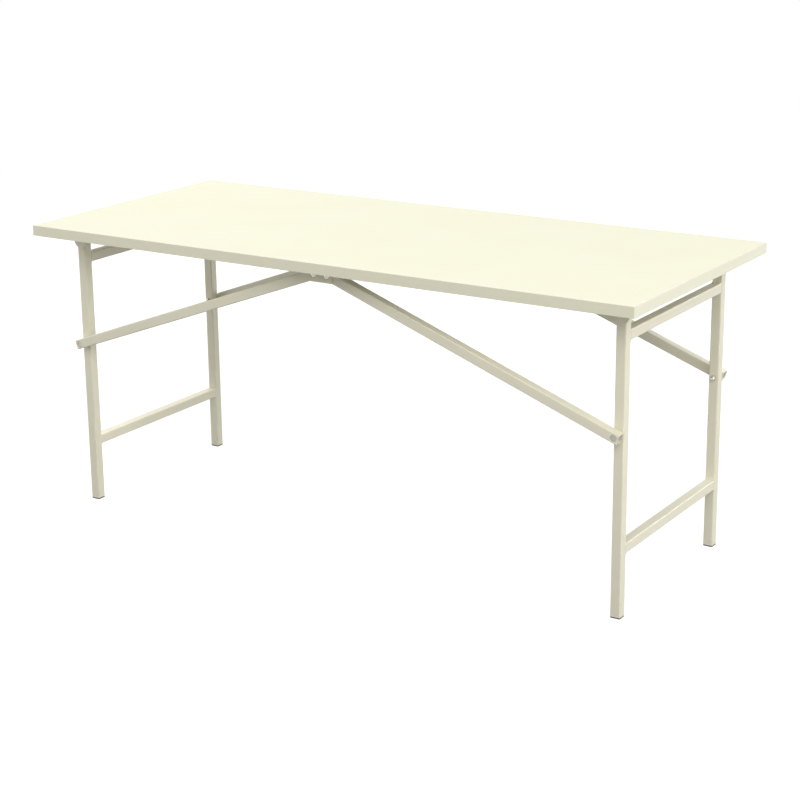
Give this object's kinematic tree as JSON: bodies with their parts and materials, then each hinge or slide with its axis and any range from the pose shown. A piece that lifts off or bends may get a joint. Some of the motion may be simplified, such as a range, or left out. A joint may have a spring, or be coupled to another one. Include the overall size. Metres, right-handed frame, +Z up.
{
  "type": "folding trestle table",
  "caption": "Cream folding table with a flat laminated top, hinged square-tube leg frames and diagonal braces that hook onto the legs to lock them open.",
  "frame": {"origin": "on the floor under the middle of the top", "axes": "+X along the top's length, +Y across it away from the picture's camera, +Z up"},
  "size_m": [1.7, 0.736, 0.76],
  "materials": {
    "top_laminate": "satin cream laminate",
    "backing_laminate": "plain backing laminate",
    "board_core": "raw particle board",
    "edge_band": "satin moulded edge band",
    "painted_tube": "cream powder coat",
    "painted_bracket": "cream powder coat",
    "zinc_steel": "zinc plated",
    "foot_glide": "moulded grey plastic"
  },
  "bodies": {
    "tabletop": {"top_core": "board_core", "top_laminate": "top_laminate", "backing_laminate": "backing_laminate", "bracket_screws": "zinc_steel", "hinge_pins": "zinc_steel", "hinge_washers": "zinc_steel", "hinge_lock_nuts": "zinc_steel", "brace_pivot_bolts": "zinc_steel", "brace_pivot_nuts": "zinc_steel", "centre_bracket_near": "painted_bracket", "centre_bracket_far": "painted_bracket", "edge_band_near": "edge_band", "edge_band_far": "edge_band", "edge_band_left": "edge_band", "edge_band_right": "edge_band", "hinge_bracket_near_left": "painted_bracket", "hinge_bracket_near_right": "painted_bracket", "hinge_bracket_far_left": "painted_bracket", "hinge_bracket_far_right": "painted_bracket"},
    "left_leg_frame": {"leg_near_left": "painted_tube", "foot_glide_near_left": "foot_glide", "leg_far_left": "painted_tube", "foot_glide_far_left": "foot_glide", "crossbar_left": "painted_tube", "stretcher_left": "painted_tube", "leg_bushes_left": "zinc_steel", "hook_studs_left": "zinc_steel", "stud_spacers_left": "zinc_steel", "stud_cap_nuts_left": "zinc_steel"},
    "right_leg_frame": {"leg_near_right": "painted_tube", "foot_glide_near_right": "foot_glide", "leg_far_right": "painted_tube", "foot_glide_far_right": "foot_glide", "crossbar_right": "painted_tube", "stretcher_right": "painted_tube", "leg_bushes_right": "zinc_steel", "hook_studs_right": "zinc_steel", "stud_spacers_right": "zinc_steel", "stud_cap_nuts_right": "zinc_steel"},
    "near_left_brace": {"brace_near_left": "painted_tube", "brace_bush_near_left": "zinc_steel"},
    "near_right_brace": {"brace_near_right": "painted_tube", "brace_bush_near_right": "zinc_steel"},
    "far_left_brace": {"brace_far_left": "painted_tube", "brace_bush_far_left": "zinc_steel"},
    "far_right_brace": {"brace_far_right": "painted_tube", "brace_bush_far_right": "zinc_steel"}
  },
  "joints": [
    {"name": "left_leg_fold", "type": "hinge", "parent": "tabletop", "child": "left_leg_frame", "pos_m": [-0.775, 0, 0.71], "axis": [0, -1, 0], "range_deg": [0, 86]},
    {"name": "right_leg_fold", "type": "hinge", "parent": "tabletop", "child": "right_leg_frame", "pos_m": [0.775, 0, 0.71], "axis": [0, 1, 0], "range_deg": [0, 86]},
    {"name": "near_left_brace_lift", "type": "hinge", "parent": "tabletop", "child": "near_left_brace", "pos_m": [-0.019, -0.2883, 0.7144], "axis": [0, 1, 0], "range_deg": [0, 20.1]},
    {"name": "near_right_brace_lift", "type": "hinge", "parent": "tabletop", "child": "near_right_brace", "pos_m": [0.019, -0.2883, 0.7144], "axis": [0, -1, 0], "range_deg": [0, 20.1]},
    {"name": "far_left_brace_lift", "type": "hinge", "parent": "tabletop", "child": "far_left_brace", "pos_m": [-0.019, 0.2883, 0.7144], "axis": [0, 1, 0], "range_deg": [0, 20.1]},
    {"name": "far_right_brace_lift", "type": "hinge", "parent": "tabletop", "child": "far_right_brace", "pos_m": [0.019, 0.2883, 0.7144], "axis": [0, -1, 0], "range_deg": [0, 20.1]}
  ],
  "couplings": [
    {"joint": "near_left_brace_lift", "follows": "left_leg_fold", "ratio": 0.2335},
    {"joint": "near_right_brace_lift", "follows": "right_leg_fold", "ratio": 0.2335},
    {"joint": "far_left_brace_lift", "follows": "left_leg_fold", "ratio": 0.2335},
    {"joint": "far_right_brace_lift", "follows": "right_leg_fold", "ratio": 0.2335}
  ]
}
